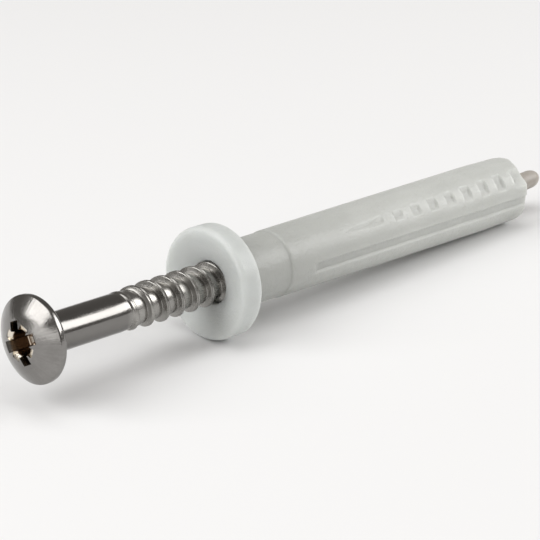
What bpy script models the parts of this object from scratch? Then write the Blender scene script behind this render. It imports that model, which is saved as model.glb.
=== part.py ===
"""A hammer fixing plug: a screw nail started in its moulded nylon sleeve, as the pair lies on a table.

Both pieces are built along +X from the sleeve's bearing face, the plane that the collar presses on the
wall. The sleeve's split line is on top (+Z) there. An empty then rolls, tilts and lifts the pair to its
place: it lies on the collar's rim and on the far end of the sleeve, and the screw head hangs free.
"""

import math

import bmesh
import bpy
from mathutils import Vector

# Sleeve: lengths and diameters in metres
COLLAR_DIAMETER = 0.0099
COLLAR_THICKNESS = 0.0020
COLLAR_FRONT_ROUND = 0.0005
COLLAR_REAR_ROUND = 0.0002
COLLAR_DISH_DEPTH = 0.0004
MOUTH_DIAMETER = 0.0046
NECK_DIAMETER = 0.0057
NECK_LENGTH = 0.0055
NECK_FILLET = 0.00035
STEP_LENGTH = 0.0002
BODY_DIAMETER = 0.0060
BELLY_DIAMETER = 0.00626
END_DIAMETER = 0.00612
END_TAPER_LENGTH = 0.0045
END_ROUND_LENGTH = 0.0006
END_ROUND_DEPTH = 0.0009
SLEEVE_LENGTH = 0.0377
END_WALL = 0.0022
NUB_FOOT_DIAMETER = 0.0024
NUB_FOOT_LENGTH = 0.0010
NUB_DIAMETER = 0.0017
NUB_TIP_LENGTH = 0.0013
NUB_LENGTH = 0.0046
PILOT_BORE_DIAMETER = 0.0022

# Split line: a V-shaped cut that opens toward the tip, bridged by webs
SPLIT_START = 0.0128
SPLIT_HALF_WIDTH = 0.00092
SPLIT_FLANK_ANGLE = math.radians(11)
WEDGE_LENGTH = 0.0050
FIRST_WEB_LENGTH = 0.00135
POCKET_LENGTH = 0.00122
POCKET_PITCH = 0.00233
LAST_POCKET_MARGIN = 0.0009

# Straight grooves, one beside each split line
GROOVE_START = 0.0086
GROOVE_WIDTH = 0.00085
GROOVE_DEPTH = 0.00028
GROOVE_ANGLE = math.radians(44.5)

# Screw nail
HEAD_DIAMETER = 0.0074
HEAD_HEIGHT = 0.00205
DOME_RADIUS = 0.0056
HEAD_EDGE_ROUND = 0.0005
SHANK_DIAMETER = 0.0033
SCREW_LENGTH = 0.0411
SMOOTH_LENGTH = 0.0082
STANDOFF = 0.0184
POINT_ANGLE = math.radians(45)
POINT_FLAT = 0.0003

# Thread: right-handed, its steep flank toward the head
THREAD_DIAMETER = 0.00372
ROOT_DIAMETER = 0.0028
THREAD_PITCH = 0.0017
CREST_LAND = 0.00014
STEEP_FLANK = 0.00012
ROOT_LAND = 0.00045
RUN_IN_LENGTH = 0.0040
RUN_OUT_LENGTH = 0.0020
THREAD_START_ANGLE = math.radians(192)

# Cross recess
RECESS_SPAN = 0.0039
RECESS_FOOT_SPAN = 0.0023
RECESS_WING_WIDTH = 0.00095
RECESS_WING_FOOT_WIDTH = 0.00076
RECESS_DEPTH = 0.0021
RECESS_CORE_DIAMETER = 0.0024
RECESS_CORE_FOOT = 0.0016
RIB_SPAN = 0.0031
RIB_WIDTH = 0.0006
RIB_FOOT_WIDTH = 0.0003
RIB_DEPTH = 0.0009

# Fits, and how the two pieces are turned about their axis
BORE_CLEARANCE = 0.00016
POINT_CLEARANCE = 0.0003
CUT_MARGIN = 0.0010
SCREW_ROLL = math.radians(11.5)
ROLL_STEPS = 5

# Facets
SLEEVE_SIDES = 36
SCREW_SIDES = 24
RECESS_SIDES = 16
ROUND_STEPS = 5
WEDGE_STEPS = 6

# Where things lie along the axis
COLLAR_FACE_X = -COLLAR_THICKNESS
HEAD_SEAT_X = COLLAR_FACE_X - STANDOFF
HEAD_TOP_X = HEAD_SEAT_X - HEAD_HEIGHT
POINT_X = HEAD_SEAT_X + SCREW_LENGTH
BODY_START_X = NECK_LENGTH + STEP_LENGTH
END_ROUND_X = SLEEVE_LENGTH - END_ROUND_LENGTH
BELLY_X = END_ROUND_X - END_TAPER_LENGTH
THREAD_START_X = HEAD_SEAT_X + SMOOTH_LENGTH
BORE_DIAMETER = THREAD_DIAMETER + 2 * BORE_CLEARANCE


def clear_scene():
    """Removes what the file opens with."""
    for obj in list(bpy.data.objects):
        bpy.data.objects.remove(obj, do_unlink=True)


def material(name, colour, roughness, metallic):
    """A plain Principled material."""
    made = bpy.data.materials.new(name)
    made.use_nodes = True
    shader = made.node_tree.nodes["Principled BSDF"]
    shader.inputs["Base Color"].default_value = (*colour, 1)
    shader.inputs["Roughness"].default_value = roughness
    shader.inputs["Metallic"].default_value = metallic
    made.diffuse_color = (*colour, 1)
    return made


def around(x, radius, angle):
    """The point at a radius from the axis; the angle is taken right-handed about +X from the top."""
    return Vector((x, -radius * math.sin(angle), radius * math.cos(angle)))


def arc(centre, radii, start, end, steps=ROUND_STEPS):
    """Points (x, radius) of a quarter round or part of an ellipse, its ends included."""
    angles = [math.radians(start + (end - start) * step / steps) for step in range(steps + 1)]
    return [(centre[0] + radii[0] * math.cos(a), centre[1] + radii[1] * math.sin(a)) for a in angles]


def ring_of(mesh, x, radius, sides):
    """One ring of vertices with a flat side, not a corner, at the top; or a single point on the axis."""
    if radius <= 0:
        return [mesh.verts.new(around(x, 0, 0))]
    return [mesh.verts.new(around(x, radius, 2 * math.pi * (i + 0.5) / sides)) for i in range(sides)]


def skin(mesh, first, second):
    """Faces between two rings, either of which may be a single point."""
    sides = max(len(first), len(second))
    for i in range(sides):
        j = (i + 1) % sides
        corners = [first[i % len(first)], first[j % len(first)], second[j % len(second)], second[i % len(second)]]
        mesh.faces.new(list(dict.fromkeys(corners)))


def turn(mesh, profile, sides):
    """Turns a profile of (x, radius) points about the axis and returns its rings."""
    rings = [ring_of(mesh, x, radius, sides) for x, radius in profile]
    for first, second in zip(rings, rings[1:]):
        skin(mesh, first, second)
    return rings


def object_from(name, mesh, sharp_angle=math.radians(32)):
    """Closes a bmesh into a named object, shaded smooth with its real edges kept sharp."""
    bmesh.ops.recalc_face_normals(mesh, faces=mesh.faces)
    data = bpy.data.meshes.new(name)
    mesh.to_mesh(data)
    mesh.free()
    data.shade_smooth()
    data.set_sharp_from_angle(angle=sharp_angle)
    made = bpy.data.objects.new(name, data)
    bpy.context.scene.collection.objects.link(made)
    return made


def cutter_from(name, mesh):
    """An object that only cuts: left out of renders and drawn as wire."""
    made = object_from(name, mesh)
    made.hide_render = True
    made.display_type = "WIRE"
    return made


def cut(target, cutter):
    """Takes the cutter's shape out of the target."""
    modifier = target.modifiers.new(cutter.name, "BOOLEAN")
    modifier.operation = "DIFFERENCE"
    modifier.solver = "EXACT"
    modifier.object = cutter


def loft(mesh, sections):
    """A closed prism through sections that have the same number of corners."""
    rings = [[mesh.verts.new(corner) for corner in section] for section in sections]
    for first, second in zip(rings, rings[1:]):
        skin(mesh, first, second)
    mesh.faces.new(rings[0])
    mesh.faces.new(rings[-1])


def body_radius(x):
    """The sleeve's radius where the cuts run: it swells to the belly and draws in a little at the end."""
    stations = [
        (BODY_START_X, BODY_DIAMETER / 2),
        (BELLY_X, BELLY_DIAMETER / 2),
        (END_ROUND_X, END_DIAMETER / 2),
    ]
    for (x0, r0), (x1, r1) in zip(stations, stations[1:]):
        if x <= x1:
            return r0 + (r1 - r0) * (x - x0) / (x1 - x0)
    return stations[-1][1]


def sleeve_profile():
    """The sleeve's section from the end of its nub, along the outside, and back down the bore."""
    collar = COLLAR_DIAMETER / 2
    neck = NECK_DIAMETER / 2
    end = END_DIAMETER / 2
    bore = BORE_DIAMETER / 2
    pilot = PILOT_BORE_DIAMETER / 2
    nub = NUB_DIAMETER / 2
    nub_end_x = SLEEVE_LENGTH + NUB_LENGTH
    mouth = MOUTH_DIAMETER / 2
    mouth_x = COLLAR_FACE_X + COLLAR_DISH_DEPTH
    bore_end_x = SLEEVE_LENGTH - END_WALL

    # The bore narrows at the slope of the screw's point, which stops a clearance short of it.
    slope = math.tan(POINT_ANGLE / 2)
    cone_apex_x = POINT_X + POINT_CLEARANCE / math.sin(POINT_ANGLE / 2)
    cone_start_x = cone_apex_x - bore / slope
    cone_end_x = cone_apex_x - pilot / slope

    profile = [(nub_end_x, 0)]
    profile += arc((nub_end_x - NUB_TIP_LENGTH, 0), (NUB_TIP_LENGTH, nub), 20, 90)
    profile += [(SLEEVE_LENGTH + NUB_FOOT_LENGTH, nub), (SLEEVE_LENGTH, NUB_FOOT_DIAMETER / 2)]
    profile += arc((END_ROUND_X, end - END_ROUND_DEPTH), (END_ROUND_LENGTH, END_ROUND_DEPTH), 0, 90)
    profile += [(BELLY_X, BELLY_DIAMETER / 2), (BODY_START_X, BODY_DIAMETER / 2), (NECK_LENGTH, neck)]
    profile += arc((NECK_FILLET, neck + NECK_FILLET), (NECK_FILLET, NECK_FILLET), 270, 180, 3)
    rear = COLLAR_REAR_ROUND
    profile += arc((-rear, collar - rear), (rear, rear), 0, 90, 4)
    front = COLLAR_FRONT_ROUND
    profile += arc((COLLAR_FACE_X + front, collar - front), (front, front), 90, 180)
    profile += [(mouth_x, mouth), (mouth_x + mouth - bore, bore), (cone_start_x, bore), (cone_end_x, pilot)]
    profile += [(bore_end_x - pilot, pilot), (bore_end_x, 0)]
    return profile


def split_half_width(x):
    """Half the width of the split line at the surface: it opens quickly at first and then slowly."""
    run = SLEEVE_LENGTH - LAST_POCKET_MARGIN - SPLIT_START
    return SPLIT_HALF_WIDTH * math.sqrt(max(x - SPLIT_START, 0) / run)


def split_section(x, turned):
    """The V of the split line at x, carried a margin above the surface, on the top or the under side."""
    radius = body_radius(x)
    half = split_half_width(x)
    bottom = math.sqrt(radius**2 - half**2) - half * math.tan(SPLIT_FLANK_ANGLE)
    reach = radius + CUT_MARGIN - bottom
    side = reach / math.tan(SPLIT_FLANK_ANGLE)
    corners = [(0, bottom), (side, bottom + reach), (-side, bottom + reach)]
    return [Vector((x, -y, -z) if turned else (x, y, z)) for y, z in corners]


def split_cutter():
    """The long wedge that starts the split line, and the pockets that follow it, on both sides."""
    mesh = bmesh.new()
    wedge_end = SPLIT_START + WEDGE_LENGTH
    first_pocket = wedge_end + FIRST_WEB_LENGTH
    room = SLEEVE_LENGTH - LAST_POCKET_MARGIN - first_pocket - POCKET_LENGTH
    for turned in (False, True):
        stations = [SPLIT_START + WEDGE_LENGTH * (step / WEDGE_STEPS) ** 2 for step in range(WEDGE_STEPS + 1)]
        loft(mesh, [split_section(x, turned) for x in stations])
        for pocket in range(int(room / POCKET_PITCH) + 1):
            start = first_pocket + POCKET_PITCH * pocket
            loft(mesh, [split_section(x, turned) for x in (start, start + POCKET_LENGTH)])
    return cutter_from("split_cutter", mesh)


def groove_cutter():
    """Two square grooves, each a fixed angle past one of the split lines."""
    mesh = bmesh.new()
    half = GROOVE_WIDTH / 2
    for angle in (GROOVE_ANGLE, math.pi + GROOVE_ANGLE):
        outward = around(0, 1, angle)
        sideways = outward.cross(Vector((1, 0, 0)))
        sections = []
        for x, radius in ((GROOVE_START, body_radius(GROOVE_START)), (BELLY_X, body_radius(BELLY_X)),
                          (SLEEVE_LENGTH + CUT_MARGIN, body_radius(END_ROUND_X))):
            floor = radius - GROOVE_DEPTH
            top = radius + CUT_MARGIN
            corners = ((-half, floor), (half, floor), (half, top), (-half, top))
            sections.append([Vector((x, 0, 0)) + outward * r + sideways * side for side, r in corners])
        loft(mesh, sections)
    return cutter_from("groove_cutter", mesh)


def build_sleeve():
    """The moulded sleeve: turned form first, then the split lines and grooves."""
    mesh = bmesh.new()
    turn(mesh, sleeve_profile(), SLEEVE_SIDES)
    sleeve = object_from("plug_sleeve", mesh)
    cutters = [split_cutter(), groove_cutter()]
    for cutter in cutters:
        cut(sleeve, cutter)
    return sleeve, cutters


def head_profile():
    """The head's section: a spherical dome, a round shoulder, a straight rim and a flat underside."""
    rim = HEAD_DIAMETER / 2
    sphere_x = HEAD_TOP_X + DOME_RADIUS
    edge_r = rim - HEAD_EDGE_ROUND
    reach = DOME_RADIUS - HEAD_EDGE_ROUND
    edge_x = sphere_x - math.sqrt(reach**2 - edge_r**2)
    tangent = math.degrees(math.asin(edge_r / reach))
    profile = arc((sphere_x, 0), (DOME_RADIUS, DOME_RADIUS), 180, 180 - tangent, 7)
    profile += arc((edge_x, edge_r), (HEAD_EDGE_ROUND, HEAD_EDGE_ROUND), 180 - tangent, 90, 4)[1:]
    profile[0] = (HEAD_TOP_X, 0)
    return profile + [(HEAD_SEAT_X, rim), (HEAD_SEAT_X, SHANK_DIAMETER / 2)]


def thread_rows():
    """(x, radius) of the thread's rows over one pitch, measured from the head's side of a crest."""
    crest = THREAD_DIAMETER / 2
    root = ROOT_DIAMETER / 2
    gentle = THREAD_PITCH - CREST_LAND - STEEP_FLANK - ROOT_LAND
    middle = CREST_LAND + gentle / 2
    return [
        (0, crest),
        (CREST_LAND, crest),
        (middle, (crest + root) / 2 + (crest - root) / 8),
        (CREST_LAND + gentle, root),
        (THREAD_PITCH - STEEP_FLANK, root),
    ]


def thread_radius(x, full, thread_end_x):
    """The radius a row has at x: the thread grows out of the shank and dies away into the point."""
    grown = min(max((x - THREAD_START_X) / RUN_IN_LENGTH, 0), 1)
    shank = SHANK_DIAMETER / 2
    radius = shank + (full - shank) * math.sin(grown * math.pi / 2)
    fading = min(max((thread_end_x - x) / RUN_OUT_LENGTH, 0), 1)
    root = ROOT_DIAMETER / 2
    return root + (radius - root) * fading


def build_thread(mesh, thread_end_x):
    """A skin of quads that follows the helix, drawn flat at both ends; returns its first and last rings."""
    rows = thread_rows()
    lead = THREAD_PITCH * THREAD_START_ANGLE / (2 * math.pi)
    turns = math.ceil((thread_end_x - THREAD_START_X) / THREAD_PITCH) + 3
    columns = []
    for side in range(SCREW_SIDES):
        angle = 2 * math.pi * (side + 0.5) / SCREW_SIDES
        shift = THREAD_START_X + lead - 2 * THREAD_PITCH + THREAD_PITCH * angle / (2 * math.pi)
        column = []
        for lap in range(turns + 1):
            for offset, full in rows:
                x = shift + lap * THREAD_PITCH + offset
                x = min(max(x, THREAD_START_X), thread_end_x)
                if column and (x - column[-1].co.x) < 1e-9:
                    column.append(column[-1])
                else:
                    column.append(mesh.verts.new(around(x, thread_radius(x, full, thread_end_x), angle)))
        columns.append(column)
    for side, column in enumerate(columns):
        following = columns[(side + 1) % SCREW_SIDES]
        step = len(rows) if side + 1 == SCREW_SIDES else 0
        for row in range(len(column) - 1 - step):
            corners = [column[row], column[row + 1], following[row + 1 + step], following[row + step]]
            corners = list(dict.fromkeys(corners))
            if len(corners) > 2:
                mesh.faces.new(corners)
    return [column[0] for column in columns], [column[-1] for column in columns]


def block(mesh, top_x, foot_x, angle, top_half, foot_half):
    """A tapered block across the axis; each half is (reach along the angle, half its width)."""
    along = around(0, 1, angle)
    across = along.cross(Vector((1, 0, 0)))
    sections = []
    for x, (reach, half) in ((top_x, top_half), (foot_x, foot_half)):
        corners = ((reach, half), (reach, -half), (-reach, -half), (-reach, half))
        sections.append([Vector((x, 0, 0)) + along * a + across * b for a, b in corners])
    loft(mesh, sections)


def recess_cutters():
    """The wings, the core and the four small ribs of the cross recess, each carried above the dome."""
    top_x = HEAD_TOP_X - CUT_MARGIN
    foot_x = HEAD_TOP_X + RECESS_DEPTH
    share = (top_x - foot_x) / (HEAD_TOP_X - foot_x)
    made = []
    for name, angle in (("wing_cutter_a", 0), ("wing_cutter_b", math.pi / 2)):
        mesh = bmesh.new()
        top_reach = (RECESS_FOOT_SPAN + (RECESS_SPAN - RECESS_FOOT_SPAN) * share) / 2
        top_half = (top_reach, RECESS_WING_WIDTH / 2)
        block(mesh, top_x, foot_x, angle, top_half, (RECESS_FOOT_SPAN / 2, RECESS_WING_FOOT_WIDTH / 2))
        made.append(cutter_from(name, mesh))
    for name, angle in (("rib_cutter_a", math.pi / 4), ("rib_cutter_b", -math.pi / 4)):
        mesh = bmesh.new()
        rib_foot_x = HEAD_TOP_X + RIB_DEPTH
        rib_share = (top_x - rib_foot_x) / (HEAD_TOP_X - rib_foot_x)
        foot = RECESS_CORE_FOOT / 2
        reach = foot + (RIB_SPAN / 2 - foot) * rib_share
        half = (RIB_FOOT_WIDTH + (RIB_WIDTH - RIB_FOOT_WIDTH) * rib_share) / 2
        block(mesh, top_x, rib_foot_x, angle, (reach, half), (foot, RIB_FOOT_WIDTH / 2))
        made.append(cutter_from(name, mesh))
    mesh = bmesh.new()
    foot = RECESS_CORE_FOOT / 2
    top = foot + (RECESS_CORE_DIAMETER / 2 - foot) * share
    turn(mesh, [(top_x, 0), (top_x, top), (foot_x, foot), (foot_x + foot / 2, 0)], RECESS_SIDES)
    made.append(cutter_from("core_cutter", mesh))
    return made


def build_screw():
    """The screw nail: head, smooth shank, thread and point as one skin, then the recess."""
    mesh = bmesh.new()
    root = ROOT_DIAMETER / 2
    cone_x = POINT_X - (root - POINT_FLAT / 2) / math.tan(POINT_ANGLE / 2)
    head = turn(mesh, head_profile(), SCREW_SIDES)
    thread_start, thread_end = build_thread(mesh, cone_x)
    skin(mesh, head[-1], thread_start)
    point = ring_of(mesh, POINT_X, POINT_FLAT / 2, SCREW_SIDES)
    skin(mesh, thread_end, point)
    mesh.faces.new(point)
    screw = object_from("drive_screw", mesh)
    cutters = recess_cutters()
    for cutter in cutters:
        cut(screw, cutter)
    return screw, cutters


def resting_place():
    """The tilt of the axis, and where the bearing face's centre lies, with the origin under the middle."""
    flat = math.cos(math.pi / SLEEVE_SIDES)
    collar = (-COLLAR_REAR_ROUND, COLLAR_DIAMETER / 2 * flat)
    end = (END_ROUND_X, END_DIAMETER / 2 * flat)
    tilt = math.atan2(collar[1] - end[1], end[0] - collar[0])
    height = collar[1] * math.cos(tilt) + collar[0] * math.sin(tilt)
    middle = (HEAD_TOP_X + SLEEVE_LENGTH + NUB_LENGTH) / 2
    return tilt, Vector((-middle * math.cos(tilt), 0, height))


def main():
    clear_scene()
    nylon = material("nylon", (0.74, 0.75, 0.72), 0.42, 0.0)
    steel = material("steel", (0.60, 0.59, 0.57), 0.22, 1.0)
    sleeve, sleeve_cutters = build_sleeve()
    screw, screw_cutters = build_screw()
    sleeve.data.materials.append(nylon)
    screw.data.materials.append(steel)

    tilt, place = resting_place()
    rest = bpy.data.objects.new("rest", None)
    bpy.context.scene.collection.objects.link(rest)
    rest.rotation_mode = "XYZ"
    rest.rotation_euler = (ROLL_STEPS * 2 * math.pi / SLEEVE_SIDES, tilt, 0)
    rest.location = place
    for piece in (sleeve, screw, *sleeve_cutters, *screw_cutters):
        piece.parent = rest
    for piece in (screw, *screw_cutters):
        piece.rotation_euler.x = SCREW_ROLL


main()
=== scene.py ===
"""The looks of a hammer fixing plug: a steel screw nail started in its moulded nylon sleeve, on a pale table.

Both pieces are built in millimetres along the fixing's own axis, from the sleeve's bearing face toward its tip,
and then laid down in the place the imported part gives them.
"""

import logging
from collections.abc import Iterable, Sequence
from dataclasses import dataclass, field
from enum import Enum
from math import asin, atan2, ceil, cos, inf, pi, radians, remainder, sin, sqrt, tan

import bmesh
import bpy
from mathutils import Matrix, Vector

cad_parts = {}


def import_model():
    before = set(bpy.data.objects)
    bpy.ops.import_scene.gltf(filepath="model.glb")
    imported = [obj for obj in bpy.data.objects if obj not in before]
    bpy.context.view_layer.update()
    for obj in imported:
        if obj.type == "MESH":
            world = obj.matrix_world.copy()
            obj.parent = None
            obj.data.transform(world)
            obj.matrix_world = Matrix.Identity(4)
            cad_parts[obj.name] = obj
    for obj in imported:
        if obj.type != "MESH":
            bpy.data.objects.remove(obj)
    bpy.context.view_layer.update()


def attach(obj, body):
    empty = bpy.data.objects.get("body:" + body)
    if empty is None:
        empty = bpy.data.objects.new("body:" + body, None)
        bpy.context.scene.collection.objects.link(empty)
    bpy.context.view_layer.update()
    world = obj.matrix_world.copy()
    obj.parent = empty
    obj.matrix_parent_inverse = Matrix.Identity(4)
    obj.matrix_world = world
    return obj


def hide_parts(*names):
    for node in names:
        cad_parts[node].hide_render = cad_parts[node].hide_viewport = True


MM = 0.001
log = logging.getLogger("hammer_fixing")

Pair = tuple[float, float]
Triple = tuple[float, float, float]
Profile = list[Pair]
Ring = list[bmesh.types.BMVert]
Socket = bpy.types.NodeSocket


class Body(Enum):
    """The bodies a piece can ride on."""

    ROOT = "root"


class Slot(Enum):
    """The record's material slots."""

    NYLON = "nylon"
    STEEL = "steel"


# ---- small maths


def clamp(value: float, low: float = 0.0, high: float = 1.0) -> float:
    """Holds a number between two limits."""
    return min(max(value, low), high)


def ease(value: float, start: float, end: float) -> float:
    """A smooth step from 0 at start to 1 at end."""
    share = clamp((value - start) / (end - start))
    return share * share * (3 - 2 * share)


def soft_min(a: float, b: float, reach: float) -> float:
    """The smaller of two numbers, with their corner rounded over a reach."""
    blend = max(reach - abs(a - b), 0.0) / reach
    return min(a, b) - blend * blend * reach / 4


def between(stations: Sequence[Pair], x: float) -> float:
    """Reads a value at x off straight lines between stations.

    Args:
        stations: Pairs of place and value, in rising order of place.
        x: The place to read.

    Returns:
        The value at x, held level beyond both ends.
    """
    for (x0, v0), (x1, v1) in zip(stations, stations[1:]):
        if x <= x1:
            return v0 + (v1 - v0) * clamp((x - x0) / (x1 - x0))
    return stations[-1][1]


def arc(centre: Pair, radii: Pair, start: float, end: float, steps: int) -> Profile:
    """Points of part of an ellipse in the plane of the axis.

    Args:
        centre: Its centre, as (along, radius).
        radii: Its half axes, along and across the fixing.
        start: First angle in degrees.
        end: Last angle in degrees.
        steps: How many parts it is cut into.

    Returns:
        The points, both ends included.
    """
    turns = [radians(start + (end - start) * step / steps) for step in range(steps + 1)]
    return [(centre[0] + radii[0] * cos(t), centre[1] + radii[1] * sin(t)) for t in turns]


def evenly(start: float, end: float, parts: int) -> list[float]:
    """A fixed number of even places from start up to, not including, end."""
    return [start + (end - start) * part / parts for part in range(parts)]


def spread(start: float, end: float, largest: float) -> list[float]:
    """Even places from start up to, not including, end, no further apart than the largest gap."""
    return evenly(start, end, max(1, ceil((end - start) / largest - 1e-9)))


def toward(azimuth: float, elevation: float) -> Vector:
    """The direction from the fixing to an azimuth and elevation in degrees, as the views name them."""
    turn, lift = radians(azimuth), radians(elevation)
    return Vector((sin(turn) * cos(lift), -cos(turn) * cos(lift), sin(lift)))


def put(name: str, data: bpy.types.ID) -> bpy.types.Object:
    """Makes an object that shows the data, and links it to the scene."""
    made = bpy.data.objects.new(name, data)
    bpy.context.scene.collection.objects.link(made)
    return made


# ---- mesh building


class Skin:
    """A closed skin that grows ring by ring round the fixing's axis, in millimetres."""

    def __init__(self) -> None:
        """Starts an empty mesh."""
        self.mesh = bmesh.new()

    def point(self, x: float, radius: float, angle: float) -> bmesh.types.BMVert:
        """One vertex; the angle is right-handed about the axis, from the split line."""
        place = Vector((x, -radius * sin(angle), radius * cos(angle)))
        return self.mesh.verts.new(place * MM)

    def ring(self, places: Iterable[Triple]) -> Ring:
        """A ring of vertices from (x, radius, angle) places."""
        return [self.point(*place) for place in places]

    def bridge(self, first: Ring, second: Ring) -> None:
        """Fills the gap between two rings, either of which may be a single point.

        Args:
            first: The ring on one side.
            second: The ring on the other side.
        """
        sides = max(len(first), len(second))
        for side in range(sides):
            after = (side + 1) % sides
            corners = [first[side % len(first)], first[after % len(first)],
                       second[after % len(second)], second[side % len(second)]]
            distinct = list(dict.fromkeys(corners))
            if len(distinct) > 2:
                self.mesh.faces.new(distinct)

    def bridge_all(self, rings: Sequence[Ring]) -> None:
        """Fills the gaps between rings that follow one another."""
        for first, second in zip(rings, rings[1:]):
            self.bridge(first, second)

    def finish(self, name: str, place: Matrix, sharp: float) -> bpy.types.Object:
        """Turns the skin into an object.

        Args:
            name: The object's name.
            place: Where its own axes lie in the world.
            sharp: Edges bent by more than this many degrees stay sharp.

        Returns:
            The object, linked to the scene.
        """
        bmesh.ops.recalc_face_normals(self.mesh, faces=self.mesh.faces)
        data = bpy.data.meshes.new(name)
        self.mesh.to_mesh(data)
        self.mesh.free()
        data.transform(place)
        data.shade_smooth()
        data.set_sharp_from_angle(angle=radians(sharp))
        return put(name, data)


# ---- shader maths


class Value:
    """A shader number that takes part in plain Python arithmetic."""

    def __init__(self, bench: "Bench", socket: Socket) -> None:
        """Wraps an output socket of a bench's node tree."""
        self.bench = bench
        self.socket = socket

    def math(self, operation: str, first: "Value | float", second: "Value | float | None" = None) -> "Value":
        """The result of one Math node, which takes one or two numbers."""
        inputs = {0: first} if second is None else {0: first, 1: second}
        return Value(self.bench, self.bench.node("ShaderNodeMath", {"operation": operation}, inputs).outputs[0])

    def __add__(self, other: "Value | float") -> "Value":
        """The sum."""
        return self.math("ADD", self, other)

    __radd__ = __add__

    def __sub__(self, other: "Value | float") -> "Value":
        """The difference."""
        return self.math("SUBTRACT", self, other)

    def __rsub__(self, other: float) -> "Value":
        """The difference from a plain number."""
        return self.math("SUBTRACT", other, self)

    def __mul__(self, other: "Value | float") -> "Value":
        """The product."""
        return self.math("MULTIPLY", self, other)

    __rmul__ = __mul__

    def root(self) -> "Value":
        """The square root."""
        return self.math("SQRT", self)

    def highest(self, other: "Value | float") -> "Value":
        """The larger of two numbers."""
        return self.math("MAXIMUM", self, other)

    def step(self, start: float, end: float) -> "Value":
        """A smooth step from 0 at start to 1 at end, which may lie before start."""
        low, high = (start, end) if start < end else (end, start)
        node = self.bench.node("ShaderNodeMapRange", {"interpolation_type": "SMOOTHSTEP"},
                               {"Value": self, "From Min": low, "From Max": high})
        rising = Value(self.bench, node.outputs["Result"])
        return rising if start < end else 1 - rising


class Bench:
    """A material's node tree, where finishes are put together."""

    def __init__(self, name: str) -> None:
        """Makes the material with nothing but its output."""
        self.material = bpy.data.materials.new(name)
        self.material.use_nodes = True
        self.nodes = self.material.node_tree.nodes
        self.nodes.clear()

    def node(self, kind: str, settings: dict[str, object], inputs: dict[str | int, object]) -> bpy.types.Node:
        """Adds any node.

        Args:
            kind: The node's type.
            settings: Its properties, set first.
            inputs: Plain values, sockets or Values for its input sockets.

        Returns:
            The node.
        """
        made = self.nodes.new(kind)
        for key, value in settings.items():
            setattr(made, key, value)
        for key, value in inputs.items():
            source = value.socket if isinstance(value, Value) else value
            if isinstance(source, Socket):
                self.material.node_tree.links.new(source, made.inputs[key])
            else:
                made.inputs[key].default_value = source
        return made

    def place(self, axes: Matrix) -> Socket:
        """The point on the piece, in millimetres along its own axes.

        Args:
            axes: Where those axes lie in the world.

        Returns:
            The point.
        """
        world = self.node("ShaderNodeTexCoord", {}, {}).outputs["Object"]
        moved = self.vector("SUBTRACT", world, tuple(axes.translation))
        turned = axes.to_3x3().transposed()
        lengths = {number: self.node("ShaderNodeVectorMath", {"operation": "DOT_PRODUCT"},
                                     {0: moved, 1: tuple(turned[number] / MM)}).outputs["Value"]
                   for number in range(3)}
        return self.node("ShaderNodeCombineXYZ", {}, lengths).outputs["Vector"]

    def vector(self, operation: str, first: object, second: object = None) -> Socket:
        """The result of one Vector Math node, which takes one or two vectors."""
        inputs = {0: first} if second is None else {0: first, 1: second}
        return self.node("ShaderNodeVectorMath", {"operation": operation}, inputs).outputs["Vector"]

    def parts(self, vector: Socket) -> tuple[Value, Value, Value]:
        """The three numbers of a vector."""
        split = self.node("ShaderNodeSeparateXYZ", {}, {0: vector})
        return tuple(Value(self, socket) for socket in split.outputs)

    def noise(self, where: Socket, stretch: Sequence[float], detail: float = 2.0,
              rough: float = 0.5) -> Value:
        """A noise that runs evenly from 0 to 1.

        Args:
            where: The point it is read at.
            stretch: How many grains to the millimetre along each axis.
            detail: Its octaves.
            rough: How strongly the finer octaves show.

        Returns:
            The noise.
        """
        scaled = self.vector("MULTIPLY", where, tuple(stretch))
        made = self.node("ShaderNodeTexNoise", {"noise_dimensions": "3D"},
                         {"Vector": scaled, "Scale": 1.0, "Detail": detail, "Roughness": rough})
        return Value(self, made.outputs["Fac"]).step(0.25, 0.75)

    def blend(self, share: Value, first: object, second: object) -> Socket:
        """Mixes two colours.

        Args:
            share: How much of the second colour shows, from 0 to 1.
            first: A colour or colour socket.
            second: A colour or colour socket.

        Returns:
            The mixed colour.
        """
        colours = [c if isinstance(c, Socket) else (*c, 1) for c in (first, second)]
        made = self.node("ShaderNodeMix", {"data_type": "RGBA"}, {"Factor": share, 6: colours[0], 7: colours[1]})
        return made.outputs[2]

    def bump(self, height: Value, depth: float) -> Socket:
        """A relief of the given depth in millimetres, drawn from a height between 0 and 1."""
        made = self.node("ShaderNodeBump", {}, {"Strength": 1.0, "Distance": depth * MM, "Height": height})
        return made.outputs["Normal"]

    def surface(self, inputs: dict[str | int, object]) -> bpy.types.Material:
        """Closes the tree with a Principled shader and returns the material."""
        shader = self.node("ShaderNodeBsdfPrincipled", {}, inputs)
        self.node("ShaderNodeOutputMaterial", {}, {"Surface": shader.outputs[0]})
        return self.material


# ---- finishes


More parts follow.
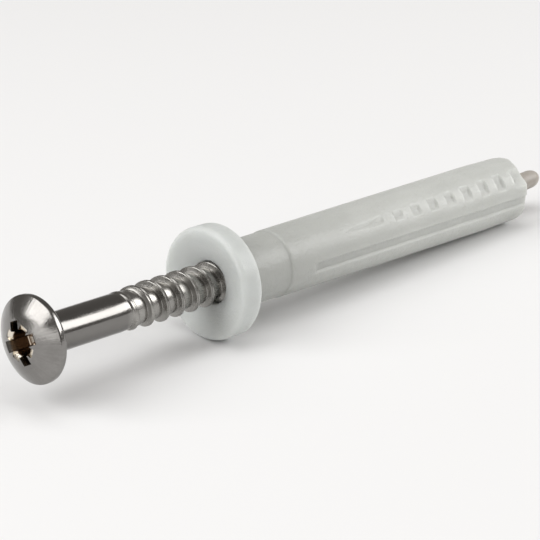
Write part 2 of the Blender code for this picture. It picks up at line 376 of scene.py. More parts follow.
@dataclass(frozen=True)
class NylonFinish:
    """Natural moulded nylon: milky, with a spark-eroded grain and faint flow lines; its colour carries painted shade
    where the steel lies inside and on the nub. Places in millimetres.
    """

    clear: Triple = (0.525, 0.535, 0.51)
    milky: Triple = (0.58, 0.59, 0.565)
    # Painted shade: the steel inside darkens the nylon over it.
    painted_steel_shade: Triple = (0.385, 0.392, 0.373)
    collar: Triple = (0.58, 0.60, 0.59)
    # Painted shade: the nub darker and browner than the sleeve.
    painted_nub_shade: Triple = (0.40, 0.37, 0.335)
    gloss: Pair = (0.30, 0.46)
    grain_depth: float = 0.018
    steel_end: float = 20.7
    # Where the painted shade on the nub begins.
    painted_nub_shade_start: Pair = (37.9, 38.8)
    collar_end: Pair = (0.5, -0.3)

    def material(self, axes: Matrix) -> bpy.types.Material:
        """Puts the finish together.

        Args:
            axes: Where the piece's own axes lie in the world.

        Returns:
            The nylon material.
        """
        bench = Bench("moulded_nylon")
        here = bench.place(axes)
        along, _, _ = bench.parts(here)
        clouds = bench.noise(here, (0.22, 0.5, 0.5), 3.0)
        flow = bench.noise(here, (0.12, 1.1, 1.1), 2.0)
        grain = bench.noise(here, (6.5, 6.5, 6.5), 2.0, 0.6)
        speckle = bench.noise(here, (2.4, 2.4, 2.4), 2.0)
        colour = bench.blend(clouds * 0.75 + flow * 0.25, self.clear, self.milky)
        # Painted shade of the steel inside, darkest at the neck and fading toward the sleeve's tip.
        painted_steel_shade_share = along.step(self.steel_end + 6.0, -7.0) * along.step(-1.9, 1.0)
        for share, layer in ((painted_steel_shade_share * (0.85 + flow * 0.15), self.painted_steel_shade),
                             # Painted shade on the nub.
                             (along.step(*self.painted_nub_shade_start), self.painted_nub_shade),
                             (along.step(*self.collar_end) * (0.75 + clouds * 0.25), self.collar)):
            colour = bench.blend(share, colour, layer)
        shine = self.gloss[0] + (speckle * 0.6 + grain * 0.4) * (self.gloss[1] - self.gloss[0])
        relief = bench.bump(grain * 0.7 + speckle * 0.9, self.grain_depth)
        return bench.surface({
            "Base Color": colour, "Roughness": shine, "Normal": relief, "IOR": 1.53,
            "Subsurface Weight": 1.0, "Subsurface Radius": (1.0, 1.0, 0.95), "Subsurface Scale": 1.4 * MM,
        })


@dataclass(frozen=True)
class SteelFinish:
    """Stainless steel: a brushed head, a drawn shank and a rolled thread; its colour carries a painted glint round
    the recess's upper walls and painted shade deeper in the recess. Places in millimetres.
    """

    bright: Triple = (0.300, 0.291, 0.280)
    dull: Triple = (0.205, 0.197, 0.187)
    rolled: Triple = (0.37, 0.36, 0.34)
    drawn_wire: Triple = (0.205, 0.198, 0.188)
    # Painted glint: a pale cream band round the recess's upper walls.
    painted_recess_glint: Triple = (0.80, 0.74, 0.64)
    # Painted shade: the recess darkened to a brown deeper in.
    painted_recess_shade: Triple = (0.20, 0.14, 0.095)
    gloss: Pair = (0.10, 0.25)
    mark_depth: float = 0.0045
    head_seat: float = -20.4
    head_top: float = -22.45
    dome_radius: float = 5.6
    thread_start: float = -12.2
    recess_edge: Pair = (2.2, 1.9)
    # Depths of the band of painted glint below the dome.
    painted_recess_glint_depth: Pair = (0.03, 0.09)
    # Depths over which the painted recess shade comes in.
    painted_shade_depth: Pair = (0.24, 0.5)
    # The painted glint is left off the wing on the low side.
    painted_glint_cutoff: Pair = (-1.35, -1.2)

    def material(self, axes: Matrix) -> bpy.types.Material:
        """Puts the finish together.

        Args:
            axes: Where the piece's own axes lie in the world.

        Returns:
            The steel material.
        """
        bench = Bench("stainless_steel")
        here = bench.place(axes)
        along, across, up = bench.parts(here)
        radius = (across * across + up * up).root()
        outward = bench.vector("NORMALIZE", bench.vector("MULTIPLY", here, (0.0, 1.0, 1.0)))
        on_head = along.step(self.head_seat + 0.2, self.head_seat - 0.1)
        marks = bench.noise(outward, (16.0, 16.0, 16.0), 3.0, 0.65)
        grit = bench.noise(here, (5.5, 5.5, 5.5), 2.0, 0.6)
        drawn = bench.noise(here, (0.25, 5.5, 5.5), 3.0, 0.6)
        turned = bench.noise(here, (9.0, 0.8, 0.8), 2.0, 0.6)
        smudge = bench.noise(here, (0.55, 0.55, 0.55), 3.0)
        lines = on_head * (marks * 0.55 + grit * 0.45) + (1 - on_head) * (drawn * 0.7 + turned * 0.3)
        colour = bench.blend(lines * 0.5 + smudge * 0.5, self.dull, self.bright)
        threaded = along.step(self.thread_start - 0.1, self.thread_start + 0.8)
        dome_x = self.head_top + self.dome_radius - (self.dome_radius ** 2 - radius * radius).highest(0.0).root()
        below_dome = along - dome_x
        inside = radius.step(*self.recess_edge) * on_head
        for share, layer in (((1 - on_head) * (0.7 + smudge * 0.3), self.drawn_wire),
                             (threaded * (0.6 + smudge * 0.4), self.rolled),
                             # Painted glint round the recess's upper walls, left off the low wing.
                             (below_dome.step(*self.painted_recess_glint_depth) * inside * up.step(*self.painted_glint_cutoff), self.painted_recess_glint),
                             # Painted shade deeper in the recess.
                             (below_dome.step(*self.painted_shade_depth) * inside, self.painted_recess_shade)):
            colour = bench.blend(share, colour, layer)
        shine = self.gloss[0] + (lines * 0.5 + smudge * 0.5) * (self.gloss[1] - self.gloss[0]) + threaded * 0.10
        relief = bench.bump(lines * (0.6 + on_head * 0.9), self.mark_depth)
        return bench.surface({"Base Color": colour, "Metallic": 1.0, "Roughness": shine, "Normal": relief})


# ---- resting place


@dataclass(frozen=True)
class RestingPlace:
    """How the fixing lies on its collar's rim and its sleeve's far end. In millimetres and degrees."""

    centre: Triple = (-9.91238, 0.0, 4.91481)
    tilt: float = 2.88969
    roll: float = 50.0
    screw_roll: float = 11.5

    def matrix(self, extra_roll: float = 0.0) -> Matrix:
        """The place of a piece's own axes.

        Args:
            extra_roll: Degrees that the piece is turned further about the axis.

        Returns:
            The matrix from the piece's axes, in metres, to the world.
        """
        turned = Matrix.Rotation(radians(self.roll + extra_roll), 4, "X")
        tilted = Matrix.Rotation(radians(self.tilt), 4, "Y")
        return Matrix.Translation(Vector(self.centre) * MM) @ tilted @ turned


# ---- the sleeve


@dataclass
class SplitLine:
    """The V-shaped cut along the sleeve: a long wedge, then pockets bridged by webs.

    Sizes are in millimetres; widest is the angle in radians beyond which no cut reaches.
    """

    start: float = 12.8
    wedge_length: float = 5.0
    first_web: float = 1.35
    pocket_length: float = 1.22
    pocket_pitch: float = 2.33
    pockets: int = 8
    last_shift: float = 0.2
    open_end: float = 39.0
    half_width: float = 0.92
    run: float = 24.0
    flank_angle: float = 11.0
    lip: float = 0.05
    far_ramp: float = 0.34
    edge_round: float = 0.02
    widest: float = 0.6

    def spans(self) -> list[Pair]:
        """Where the cut is open along the axis."""
        first = self.start + self.wedge_length + self.first_web
        starts = [first + self.pocket_pitch * number for number in range(self.pockets)]
        pockets = [(x, x + self.pocket_length) for x in starts[:-1]]
        return [(self.start, self.start + self.wedge_length), *pockets, (starts[-1] + self.last_shift, self.open_end)]

    def half(self, x: float) -> float:
        """Half the cut's width at the surface."""
        return self.half_width * sqrt(clamp((x - self.start) / self.run, 0.0, 1.1))

    def openness(self, x: float) -> float:
        """How far the cut is open at x, from 0 on a web to 1 in a pocket."""
        shares = [ease(x, start - self.lip, start + self.lip) * ease(x, end + self.lip, end - self.far_ramp)
                  for start, end in self.spans()]
        return max(shares)

    def floor(self, x: float, radius: float, angle: float) -> float:
        """The radius of the V's flanks.

        Args:
            x: Place along the axis.
            radius: The body's radius there.
            angle: Angle from the V's middle.

        Returns:
            The radius in millimetres.
        """
        half = self.half(x)
        slope = tan(radians(self.flank_angle))
        bottom = sqrt(radius ** 2 - half ** 2) - half * slope
        return bottom / (cos(angle) - abs(sin(angle)) * slope)


@dataclass
class Groove:
    """A straight square groove beside each split line. Sizes in millimetres."""

    start: float = 8.6
    width: float = 0.85
    depth: float = 0.22
    angle: float = 44.5
    lip: float = 0.13

    def depth_at(self, x: float, radius: float, angle: float) -> float:
        """How deep the groove is.

        Args:
            x: Place along the axis.
            radius: The body's radius there.
            angle: Angle from the groove's middle.

        Returns:
            The depth in millimetres.
        """
        aside = abs(radius * sin(angle))
        if cos(angle) < 0 or aside > self.width:
            return 0.0
        share = ease(aside, self.width / 2 + self.lip, self.width / 2 - self.lip)
        share *= ease(x, self.start - self.lip, self.start + self.lip)
        sunk = radius - (radius - self.depth) / cos(angle)
        return max(share * sunk, 0.0)


@dataclass
class PlugSleeve:
    """The moulded nylon sleeve with its collar, neck, ribbed body and the nub left by moulding. In millimetres."""

    place: RestingPlace
    finish: NylonFinish
    collar_diameter: float = 9.85
    collar_thickness: float = 2.0
    front_round: float = 0.42
    rear_round: float = 0.2
    dish_depth: float = 0.7
    mouth_diameter: float = 3.86
    bore_diameter: float = 3.8
    pilot_diameter: float = 2.2
    neck_diameter: float = 5.84
    neck_length: float = 5.5
    neck_fillet: float = 0.35
    step_length: float = 0.2
    body_diameter: float = 6.0
    belly_diameter: float = 6.26
    belly_x: float = 32.6
    end_diameter: float = 6.085
    end_round: Pair = (0.6, 0.9)
    end_flats: int = 6
    flats_start: float = 37.05
    flats_fall: float = 1.45
    flats_turn: float = 45.0
    length: float = 37.7
    end_wall: float = 2.2
    nub_foot: Pair = (1.0, 2.4)
    nub_diameter: float = 1.7
    nub_tip: float = 1.3
    nub_lean: float = 0.05
    nub_length: float = 4.59
    cone_start: float = 16.6
    cone_angle: float = 45.0
    parting_start: float = 1.0
    parting_angle: float = 120.0
    parting_height: float = 0.03
    parting_width: float = 0.16
    sharp_angle: float = 40.0
    narrowest_split: float = 0.13
    column_gap: float = 0.03
    split: SplitLine = field(default_factory=SplitLine)
    groove: Groove = field(default_factory=Groove)

    def body_radius(self, x: float) -> float:
        """The body's radius before any cut: it swells to the belly and draws in a little at the end."""
        end_x = self.length - self.end_round[0]
        stations = [(self.neck_length + self.step_length, self.body_diameter / 2),
                    (self.belly_x, self.belly_diameter / 2), (end_x, self.end_diameter / 2)]
        return between(stations, x)

    def radius(self, x: float, turned: float, angle: float) -> float:
        """The outer radius after the split lines and the grooves.

        Args:
            x: Place along the axis.
            turned: The radius of the turned form there.
            angle: Angle from the first split line.

        Returns:
            The radius in millimetres.
        """
        if x > self.flats_start:
            sector = 2 * pi / self.end_flats
            aside = remainder(angle - radians(self.flats_turn), sector)
            flat = self.end_diameter / 2 - (x - self.flats_start) * self.flats_fall
            if turned > self.nub_foot[1]:
                turned = min(turned, flat / cos(aside))
        body = self.body_radius(x)
        depth = 0.0
        openness = self.split.openness(x)
        for half_turn in (0.0, pi):
            aside = remainder(angle - half_turn, 2 * pi)
            if openness > 0 and abs(aside) < self.split.widest:
                cut = soft_min(body, self.split.floor(x, body, aside), self.split.edge_round)
                depth = max(depth, openness * (body - cut))
            past = remainder(aside - radians(self.groove.angle), 2 * pi)
            depth = max(depth, self.groove.depth_at(x, body, past))
            seam = remainder(aside - radians(self.parting_angle), 2 * pi) * body
            if self.parting_start < x < self.flats_start and abs(seam) < self.parting_width / 2:
                turned += self.parting_height * cos(seam / self.parting_width * pi)
                body += self.parting_height
        return min(turned, body - depth)

    def half_turn_angles(self, x: float) -> list[float]:
        """The columns from one split line to the next, drawn close together at every edge.

        Args:
            x: Place along the axis; the columns follow the widening split.

        Returns:
            Rising angles in radians, from 0 up to but not including half a turn.
        """
        body = self.body_radius(max(x, self.neck_length + self.step_length))
        edge = asin(max(self.split.half(x), self.narrowest_split) / body)
        near = self.column_gap / body
        wall = asin(self.groove.width / 2 / body)
        lips = [offset * self.groove.lip / body for offset in (-1.6, -1.0, -0.5, 0.0, 0.5, 1.0, 1.6)]
        middle = radians(self.groove.angle)
        parting = radians(self.parting_angle)
        ridge = self.parting_width / 2 / body
        last = edge + 2 * near
        angles = evenly(0.0, edge - 2 * near, 6) + evenly(edge - 2 * near, last, 4)
        for side, parts in ((-wall, 9), (wall, 5)):
            angles += evenly(last, middle + side + lips[0], parts) + [middle + side + lip for lip in lips]
            last = middle + side + 2 * lips[-1]
        for end, parts in ((parting - ridge, 22), (parting + ridge, 6), (pi - edge - 2 * near, 15),
                           (pi - edge + 2 * near, 4), (pi, 6)):
            angles += evenly(last, end, parts)
            last = end
        return angles

    def angles(self, x: float) -> list[float]:
        """The columns of a full turn."""
        half = self.half_turn_angles(x)
        return half + [angle + pi for angle in half]

    def body_stations(self) -> list[float]:
        """Where the rings of the body lie, close together at every cut's end.

        Returns:
            Places along the axis, from the end back to the step.
        """
        marks = {self.groove.start, *(place for span in self.split.spans() for place in span)}
        lip = self.split.lip
        places: list[float] = []
        last = self.neck_length + self.step_length
        for mark in sorted(mark for mark in marks if mark < self.length - self.end_round[0]):
            places += spread(last, mark - 7.5 * lip, 0.35)
            places += [mark + lip * offset for offset in (-7.5, -6.0, -4.5, -3.0, -1.6, -1.0, -0.5, 0.0, 0.5, 1.0)]
            last = mark + 1.4 * lip
        places += spread(last, self.length - self.end_round[0], 0.25)
        return sorted(places, reverse=True)

    def outside(self) -> Profile:
        """The turned form of the sleeve's outside.

        Returns:
            Its points as (x, radius), from the nub's tip to the collar's rear face.
        """
        tip_x, nub = self.length + self.nub_length, self.nub_diameter / 2
        foot_length, foot_diameter = self.nub_foot
        along, across = self.end_round
        end, neck, fillet = self.end_diameter / 2, self.neck_diameter / 2, self.neck_fillet
        profile = arc((tip_x - self.nub_tip, 0), (self.nub_tip, nub), 18, 90, 8)
        profile += [(x, nub) for x in (self.length + 2.6, self.length + 1.8)]
        profile += [(self.length + foot_length, nub), (self.length + foot_length * 0.5, nub + 0.14),
                    (self.length + 0.08, foot_diameter / 2 - 0.02), (self.length, foot_diameter / 2 + 0.08)]
        corner = end / 3
        profile += [(self.length, end - across - 0.25), (self.length, end - corner)]
        profile += arc((self.length - corner / 3, end - corner / 3), (corner / 3, corner / 3), 0, 90, 5)
        profile += [(self.length - corner / 3 - (along - corner / 3) * share, end) for share in (0.3, 0.65)]
        profile += [(self.length - along, end)]
        profile += [(x, self.body_radius(x)) for x in self.body_stations()]
        profile += [(self.neck_length + self.step_length * 0.7, self.body_diameter / 2 - 0.05),
                    (self.neck_length, neck)]
        profile += [(x, neck) for x in (4.6, 3.6, 2.6, 1.6, 0.9)]
        profile += arc((fillet, neck + fillet), (fillet, fillet), 270, 180, 6)
        return profile

    def collar_and_bore(self) -> Profile:
        """The turned form of the collar and of the sleeve's inside.

        Returns:
            Its points as (x, radius), from the bearing face over the collar, down the dish and along the bore.
        """
        face_x, collar = -self.collar_thickness, self.collar_diameter / 2
        rear, front = self.rear_round, self.front_round
        bore, pilot, mouth = self.bore_diameter / 2, self.pilot_diameter / 2, self.mouth_diameter / 2
        mouth_x = face_x + self.dish_depth
        profile: Profile = [(0.0, 3.8), (0.0, 4.4)]
        profile += arc((-rear, collar - rear), (rear, rear), 0, 90, 6)
        profile += [(-0.7, collar), (-1.1, collar)]
        profile += arc((face_x + front, collar - front), (front, front), 90, 180, 10)
        profile += [(face_x + self.dish_depth * share ** 1.4, collar - front - (collar - front - mouth) * share)
                    for share in (0.04, 0.12, 0.25, 0.4, 0.55, 0.7, 0.85, 1.0)]
        profile += [(mouth_x + 0.06, mouth - 0.03), (mouth_x + 0.2, bore)]
        slope = (bore - pilot) / tan(radians(self.cone_angle / 2))
        profile += [(4.0, bore), (10.0, bore), (self.cone_start, bore), (self.cone_start + slope, pilot)]
        bore_end = self.length - self.end_wall
        return profile + [(bore_end - pilot, pilot), (bore_end, 0.0)]

    def build(self) -> bpy.types.Object:
        """Builds the sleeve as one closed skin.

        Returns:
            The sleeve, in its place.
        """
        skin = Skin()
        rings = [skin.ring([(self.length + self.nub_length, 0.0, 0.0)])]
        self.lean(rings[0], self.length + self.nub_length)
        for x, turned in self.outside():
            rings.append(skin.ring([(x, self.radius(x, turned, angle), angle) for angle in self.angles(x)]))
            self.lean(rings[-1], x)
        for x, turned in self.collar_and_bore():
            angles = self.angles(x) if turned > 0 else [0.0]
            rings.append(skin.ring([(x, turned, angle) for angle in angles]))
        skin.bridge_all(rings)
        return skin.finish("nylon_sleeve", self.place.matrix(), self.sharp_angle)

    def lean(self, ring: Ring, x: float) -> None:
        """Moves a ring of the nub aside, so that the nub stands a little askew, as it was broken off.

        Args:
            ring: The ring.
            x: Place along the axis.
        """
        roll = radians(self.place.roll)
        aside = max(x - self.length - self.nub_foot[0], 0.0) * self.nub_lean * MM
        for corner in ring:
            corner.co += Vector((0.0, sin(roll), cos(roll))) * aside

    def dress(self, sleeve: bpy.types.Object) -> None:
        """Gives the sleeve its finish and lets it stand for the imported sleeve."""
        sleeve.data.materials.append(self.finish.material(self.place.matrix()))
        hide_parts("plug_sleeve")
        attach(sleeve, Body.ROOT.value)


# ---- the screw


@dataclass
class CrossRecess:
    """The cross recess: four wings, one with a shelf at its end, a round core and four small ribs.

    Sizes are in millimetres; corner_gap, between the columns at a corner, is in radians.
    """

    span: float = 3.9
    foot_span: float = 2.3
    wing_width: float = 0.95
    wing_foot_width: float = 0.76
    depth: float = 2.1
    core_diameter: float = 2.4
    core_foot: float = 1.6
    rib_span: float = 4.2
    rib_width: float = 0.9
    rib_foot_width: float = 0.7
    rib_depth: float = 0.6
    edge_round: float = 0.045
    shelf_reach: float = 1.5
    shelf_depth: float = 0.4
    shelf_fall: float = 0.1
    corner_gap: float = 0.02

    def bar(self, angle: float, reach: float, half: float) -> float:
        """How far a straight bar through the middle reaches at an angle."""
        across, along = abs(sin(angle)), abs(cos(angle))
        return min(reach / max(along, 1e-6), half / max(across, 1e-6))

    def halves(self, depth: float) -> Triple:
        """Half the wings' span, half their width and the core's radius at a depth."""
        share = clamp(depth / self.depth)
        pairs = ((self.span, self.foot_span), (self.wing_width, self.wing_foot_width),
                 (self.core_diameter, self.core_foot))
        return tuple((top + (foot - top) * share) / 2 for top, foot in pairs)

    def rib_halves(self, share: float) -> Pair:
        """Half the ribs' span and half their width at a share of their depth."""
        return ((self.rib_span + (self.core_foot - self.rib_span) * share) / 2,
                (self.rib_width + (self.rib_foot_width - self.rib_width) * share) / 2)

    def outline(self, angle: float, depth: float) -> float:
        """The recess's radius.

        Args:
            angle: Angle from one of the wings.
            depth: Depth below the top of the dome.

        Returns:
            The radius of the opening there.
        """
        reach, half, core = self.halves(depth)
        radii = [core, self.bar(angle + pi / 2, reach, half)]
        if cos(angle) > 0:
            reach -= max(reach - self.shelf_reach, 0.0) * clamp((depth - self.shelf_depth) / self.shelf_fall)
        radii.append(self.bar(angle, reach, half))
        share = depth / self.rib_depth
        if share < 1:
            radii += [self.bar(angle + turn, *self.rib_halves(share)) for turn in (pi / 4, -pi / 4)]
        return max(radii)

    def angles(self, depth: float) -> list[float]:
        """The columns of a full turn at a depth; they follow the corners of wings and ribs down.

        Args:
            depth: Depth below the top of the dome.

        Returns:
            Rising angles in radians, always the same number of them.
        """
        reach, half, core = self.halves(depth)
        rib_reach, rib_half = self.rib_halves(clamp(depth / self.rib_depth, 0.0, 0.6))
        wing, foot, gap = atan2(half, reach), asin(half / core), self.corner_gap
        rib = max(pi / 4 - atan2(rib_half, rib_reach), foot + 2 * gap)
        marks = [0.0, wing - gap, wing, wing + gap, foot, rib - gap, rib, rib + gap, pi / 4]
        eighth: list[float] = []
        for start, end, parts in zip(marks, marks[1:], (5, 1, 1, 5, 4, 1, 1, 4)):
            eighth += evenly(start, end, parts)
        quarter = eighth + [pi / 4] + [pi / 2 - angle for angle in reversed(eighth[1:])]
        return [angle + turn * pi / 2 for turn in range(4) for angle in quarter]


@dataclass
class Thread:
    """The rolled thread: right-handed, its steep flank toward the head. In millimetres."""

    diameter: float = 3.72
    root_diameter: float = 2.8
    pitch: float = 1.7
    crest: float = 0.34
    crest_seam: float = 0.035
    steep_flank: float = 0.12
    barrel_diameter: float = 3.1
    ahead: float = 0.22
    start_angle: float = 192.0
    run_in: float = 4.0
    run_out: float = 2.0

    def rows(self) -> Profile:
        """The thread's section over one pitch.

        Returns:
            Its points as (along, radius), from the head's side of a crest.
        """
        top, foot, barrel = self.diameter / 2, self.root_diameter / 2, self.barrel_diameter / 2
        edge, seam = top - 0.03, top - self.crest_seam
        rows = [(0.0, edge - 0.01), (0.03, top - 0.005), (0.06, top), (0.11, top - 0.015), (self.crest / 2, seam),
                (self.crest - 0.11, top - 0.015), (self.crest - 0.06, top), (self.crest, edge)]
        rows += [(self.crest + 0.08, barrel + 0.12), (self.crest + 0.16, barrel + 0.01)]
        start, end = self.crest + 0.16, self.pitch - self.steep_flank - 0.03
        for share in (0.15, 0.3, 0.45, 0.6, 0.75, 0.9, 1.0):
            rows.append((start + (end - start) * share, barrel - (barrel - foot) * share ** 2.2))
        rows += [(self.pitch - self.steep_flank + 0.01, foot + 0.03),
                 (self.pitch - self.steep_flank * 0.5, foot + 0.16)]
        return rows


@dataclass
class DriveScrew:
    """The steel screw nail: head with a cross recess, smooth shank, thread and blunt point. In millimetres."""

    place: RestingPlace
    finish: SteelFinish
    head_diameter: float = 7.4
    head_height: float = 2.05
    head_seat: float = -20.4
    dome_radius: float = 5.6
    rim_round: float = 0.5
    crease_turn: float = 71.0
    shank_diameter: float = 3.3
    shank_fillet: float = 0.15
    length: float = 41.1
    smooth_length: float = 8.2
    point_angle: float = 45.0
    point_flat: float = 0.3
    sides: int = 96
    sharp_angle: float = 25.0
    recess: CrossRecess = field(default_factory=CrossRecess)
    thread: Thread = field(default_factory=Thread)

    @property
    def head_top(self) -> float:
        """The top of the dome."""
        return self.head_seat - self.head_height

    def dome_depth(self, radius: float) -> float:
        """How far the dome has fallen away at a radius."""
        return self.dome_radius - sqrt(self.dome_radius ** 2 - radius ** 2)

    def opening(self, column: int) -> Triple:
        """Where a column of the recess meets the dome.

        Args:
            column: The column's number.

        Returns:
            The radius, the depth below the dome's top and the angle.
        """
        depth = 0.0
        for _ in range(8):
            angle = self.recess.angles(depth)[column]
            radius = self.recess.outline(angle, depth)
            depth = self.dome_depth(radius)
        return radius, depth, angle

    def recess_rings(self, skin: Skin, openings: Sequence[Triple]) -> list[Ring]:
        """The recess, from its deepest point out to its rounded edge on the dome.

        Args:
            skin: The screw's skin.
            openings: Where each column meets the dome.

        Returns:
            The rings, the innermost being a single point.
        """
        recess, top = self.recess, self.head_top
        foot = recess.angles(recess.depth)
        reach = [recess.outline(angle, recess.depth) for angle in foot]
        rings = [skin.ring([(top + recess.depth + recess.core_foot / 4, 0.0, 0.0)])]
        for share in (0.35, 0.68):
            floor = top + recess.depth + recess.core_foot / 4 * (1 - share / 0.7)
            rings.append(skin.ring([(floor, radius * share, angle) for radius, angle in zip(reach, foot)]))
        rings.append(skin.ring([(top + recess.depth, radius - 0.04, angle) for radius, angle in zip(reach, foot)]))
        edge = recess.edge_round
        for level in (0.98, 0.85, 0.7, 0.55, 0.4, 0.28, 0.2, 0.15, 0.1, 0.06, 0.03):
            depths = [rim + edge + (recess.depth - rim - edge) * level for _, rim, _ in openings]
            turns = [recess.angles(depth)[column] for column, depth in enumerate(depths)]
            rings.append(skin.ring([(top + depth, recess.outline(angle, depth), angle)
                                    for depth, angle in zip(depths, turns)]))
        for outward, inward in ((0.0, 1.0), (0.3, 0.3), (1.0, 0.0)):
            rings.append(skin.ring([(top + self.dome_depth(radius + edge * outward) + edge * inward,
                                     radius + edge * outward, angle) for radius, _, angle in openings]))
        return rings

    def head_rings(self, skin: Skin, angles: Sequence[float], inner: Sequence[float]) -> list[Ring]:
        """The dome outside the recess, its round shoulder, the rim and the underside.

        Args:
            skin: The screw's skin.
            angles: The columns.
            inner: The radius at which each column leaves the recess's edge.

        Returns:
            The rings, from the recess out to the shank.
        """
        rim = self.head_diameter / 2
        turn = radians(self.crease_turn)
        outer = rim - self.rim_round * (1 - sin(turn))
        edge_x = self.head_top + self.dome_depth(outer) + self.rim_round * cos(turn)
        rings = []
        for share in (0.1, 0.25, 0.42, 0.6, 0.8, 1.0):
            reached = [start + (outer - start) * share for start in inner]
            rings.append(skin.ring([(self.head_top + self.dome_depth(radius), radius, angle)
                                    for radius, angle in zip(reached, angles)]))
        profile = arc((edge_x, rim - self.rim_round), (self.rim_round,) * 2, 180 - self.crease_turn, 90, 6)[1:]
        profile += [(self.head_seat - 0.28, rim - 0.01), (self.head_seat - 0.14, rim - 0.045),
                    (self.head_seat - 0.04, rim - 0.12), (self.head_seat, rim - 0.22), (self.head_seat, 2.6)]
        fillet = self.shank_fillet
        profile += arc((self.head_seat + fillet, self.shank_diameter / 2 + fillet), (fillet, fillet), 180, 270, 4)
        return rings + [skin.ring([(x, radius, angle) for angle in angles]) for x, radius in profile]

    def thread_radius(self, x: float, full: float, start_x: float, end_x: float) -> float:
        """The radius of a row, since the thread grows out of the shank and dies away into the point.

        Args:
            x: Place along the axis.
            full: The row's radius where the thread is full.
            start_x: Where the shank ends.
            end_x: Where the point begins.

        Returns:
            The radius in millimetres.
        """
        thread = self.thread
        shank, foot = self.shank_diameter / 2, thread.root_diameter / 2
        grown = clamp((x - start_x) / thread.run_in)
        radius = shank + (full - shank) * sin(grown * pi / 2)
        return foot + (radius - foot) * clamp((end_x - x) / thread.run_out)

    def thread_ends(self, skin: Skin, start_x: float, end_x: float) -> tuple[Ring, Ring]:
        """Lays the thread's skin along its helix.

        Args:
            skin: The screw's skin.
            start_x: Where the shank ends.
            end_x: Where the point begins.

        Returns:
            The ring at the shank and the ring at the point.
        """
        thread, rows = self.thread, self.thread.rows()
        lead = thread.pitch * thread.start_angle / 360
        laps = ceil((end_x - start_x) / thread.pitch) + 3
        columns: list[Ring] = []
        for side in range(self.sides):
            angle = 2 * pi * side / self.sides
            shift = start_x + lead - thread.ahead - 2 * thread.pitch + thread.pitch * side / self.sides
            column: Ring = []
            last_x = -inf
            for lap in range(laps + 1):
                for offset, full in rows:
                    x = clamp(shift + lap * thread.pitch + offset, start_x, end_x)
                    if x - last_x < 1e-6:
                        column.append(column[-1])
                    else:
                        column.append(skin.point(x, self.thread_radius(x, full, start_x, end_x), angle))
                    last_x = x
            columns.append(column)
        for side, column in enumerate(columns):
            following = columns[(side + 1) % self.sides]
            step = len(rows) if side + 1 == self.sides else 0
            for row in range(len(column) - 1 - step):
                corners = dict.fromkeys([column[row], column[row + 1], following[row + 1 + step],
                                         following[row + step]])
                if len(corners) > 2:
                    skin.mesh.faces.new(list(corners))
        return [column[0] for column in columns], [column[-1] for column in columns]

    def stitch(self, skin: Skin, first: Ring, turns: Sequence[float], second: Ring) -> None:
        """Joins a ring with uneven columns to one with even columns, both round the shank.

        Args:
            skin: The screw's skin.
            first: The ring with its own columns.
            turns: Their rising angles.
            second: The ring with even columns from angle 0.
        """
        a, b = 0, 0
        while a < len(first) or b < len(second):
            next_a = turns[a + 1] if a + 1 < len(first) else 2 * pi
            next_b = 2 * pi * (b + 1) / len(second)
            corner_a, corner_b = first[a % len(first)], second[b % len(second)]
            if b >= len(second) or (a < len(first) and next_a <= next_b):
                skin.mesh.faces.new([corner_a, first[(a + 1) % len(first)], corner_b])
                a += 1
            else:
                skin.mesh.faces.new([corner_a, second[(b + 1) % len(second)], corner_b])
                b += 1

    def build(self) -> bpy.types.Object:
        """Builds the screw as one closed skin.

        Returns:
            The screw, in its place.
        """
        skin = Skin()
        openings = [self.opening(column) for column in range(len(self.recess.angles(0.0)))]
        angles = [angle for _, _, angle in openings]
        rings = self.recess_rings(skin, openings)
        rings += self.head_rings(skin, angles, [radius + self.recess.edge_round for radius, _, _ in openings])
        start_x = self.head_seat + self.smooth_length
        rings += [skin.ring([(x, self.shank_diameter / 2, angle) for angle in angles])
                  for x in (self.head_seat + 3.0, start_x - 1.0)]
        skin.bridge_all(rings)
        foot = self.thread.root_diameter / 2
        point_x = self.head_seat + self.length
        cone_x = point_x - (foot - self.point_flat / 2) / tan(radians(self.point_angle / 2))
        thread_start, thread_end = self.thread_ends(skin, start_x, cone_x)
        self.stitch(skin, rings[-1], angles, thread_start)
        sides = [2 * pi * side / self.sides for side in range(self.sides)]
        tip = [skin.ring([(point_x, self.point_flat / 2, angle) for angle in sides]),
               skin.ring([(point_x, 0.0, 0.0)])]
        skin.bridge_all([thread_end, *tip])
        return skin.finish("steel_screw_nail", self.place.matrix(self.place.screw_roll), self.sharp_angle)

    def dress(self, screw: bpy.types.Object) -> None:
        """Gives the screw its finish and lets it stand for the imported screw."""
        screw.data.materials.append(self.finish.material(self.place.matrix(self.place.screw_roll)))
        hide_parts("drive_screw")
        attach(screw, Body.ROOT.value)


# ---- the studio


@dataclass(frozen=True)
class Softbox:
    """One soft rectangular light, aimed at the fixing. Lengths in metres, angles in degrees."""

    name: str
    azimuth: float
    elevation: float
    distance: float
    width: float
    height: float
    radiance: float

    def hang(self, target: Vector) -> None:
        """Hangs the light and turns it to the target."""
        data = bpy.data.lights.new(self.name, "AREA")
        data.shape = "RECTANGLE"
        data.size, data.size_y = self.width, self.height
        data.energy = self.radiance * pi * self.width * self.height
        lamp = put(self.name, data)
        out = toward(self.azimuth, self.elevation)
        lamp.location = target + out * self.distance
        lamp.rotation_euler = out.to_track_quat("Z", "Y").to_euler()


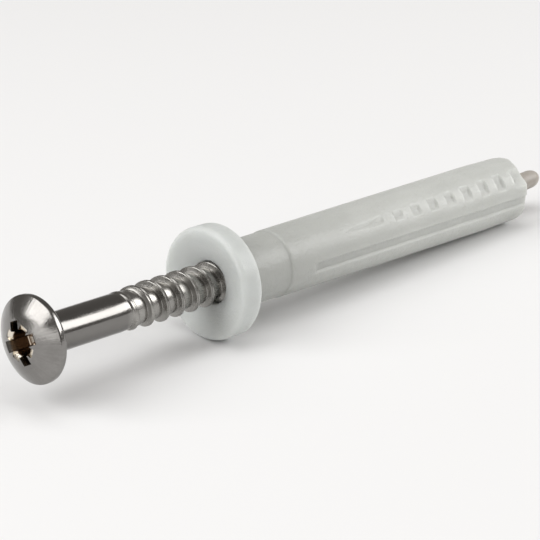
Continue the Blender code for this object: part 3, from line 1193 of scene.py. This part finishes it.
@dataclass(frozen=True)
class Studio:
    """The pale table, the soft lights and the camera."""

    floor_half: float = 1.5
    floor_colour: Triple = (0.83, 0.83, 0.83)
    air: Triple = (0.25, 0.238, 0.226)
    camera_place: Triple = (-0.15067, -0.14360, 0.09009)
    camera_azimuth: float = -45.604
    camera_elevation: float = 22.754
    camera_roll: float = 0.2975
    focal_length: float = 172.288
    lights: tuple[Softbox, ...] = (
        Softbox("right_softbox", 52.0, 30.0, 0.5, 0.36, 0.25, 4.8),
        Softbox("left_softbox", -112.0, 37.0, 0.5, 0.36, 0.33, 3.9),
        Softbox("ceiling_softbox", -60.0, 86.0, 0.5, 0.36, 0.36, 2.2),
        Softbox("front_card", -86.0, 9.0, 0.6, 0.50, 0.17, 1.6),
    )

    def lay_table(self) -> None:
        """Lays a plain pale table top under the fixing."""
        half = self.floor_half
        data = bpy.data.meshes.new("table_top")
        data.from_pydata([(-half, -half, 0), (half, -half, 0), (half, half, 0), (-half, half, 0)], [], [(0, 1, 2, 3)])
        table = put("table_top", data)
        bench = Bench("pale_table")
        data.materials.append(bench.surface({
            "Base Color": (*self.floor_colour, 1), "Roughness": 0.9, "Specular IOR Level": 0.0,
        }))

    def fill_air(self) -> None:
        """Fills the room with a dim even light."""
        world = bpy.data.worlds.new("room")
        world.use_nodes = True
        background = world.node_tree.nodes["Background"]
        background.inputs["Color"].default_value = (*self.air, 1)
        bpy.context.scene.world = world

    def set_camera(self) -> None:
        """Sets the camera at the photograph's angle, with no depth of field and no shift."""
        data = bpy.data.cameras.new("camera")
        data.sensor_width = 36.0
        data.lens = self.focal_length
        data.clip_start, data.clip_end = 0.01, 20.0
        camera = put("camera", data)
        back = toward(self.camera_azimuth, self.camera_elevation)
        right = Vector((0, 0, 1)).cross(back).normalized()
        up = back.cross(right)
        roll = radians(self.camera_roll)
        right, up = right * cos(roll) + up * sin(roll), up * cos(roll) - right * sin(roll)
        turned = Matrix((right, up, back)).transposed().to_4x4()
        camera.matrix_world = Matrix.Translation(Vector(self.camera_place)) @ turned
        bpy.context.scene.camera = camera

    def build(self, target: Vector) -> None:
        """Sets everything up round the fixing.

        Args:
            target: The point the lights are turned to.
        """
        self.lay_table()
        self.fill_air()
        for light in self.lights:
            light.hang(target)
        self.set_camera()
        bpy.context.scene.view_settings.view_transform = "Standard"


# ---- main


def main() -> None:
    """Builds the sleeve, the screw and the studio, and notes each piece's count of faces."""
    logging.basicConfig(level=logging.INFO, format="%(message)s")
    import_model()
    place = RestingPlace()
    for maker in (PlugSleeve(place, NylonFinish()), DriveScrew(place, SteelFinish())):
        piece = maker.build()
        maker.dress(piece)
        log.info("%s: %d faces", piece.name, len(piece.data.polygons))
    Studio().build(Vector((0.0, 0.0, 0.005)))


if __name__ == "__main__":
    main()
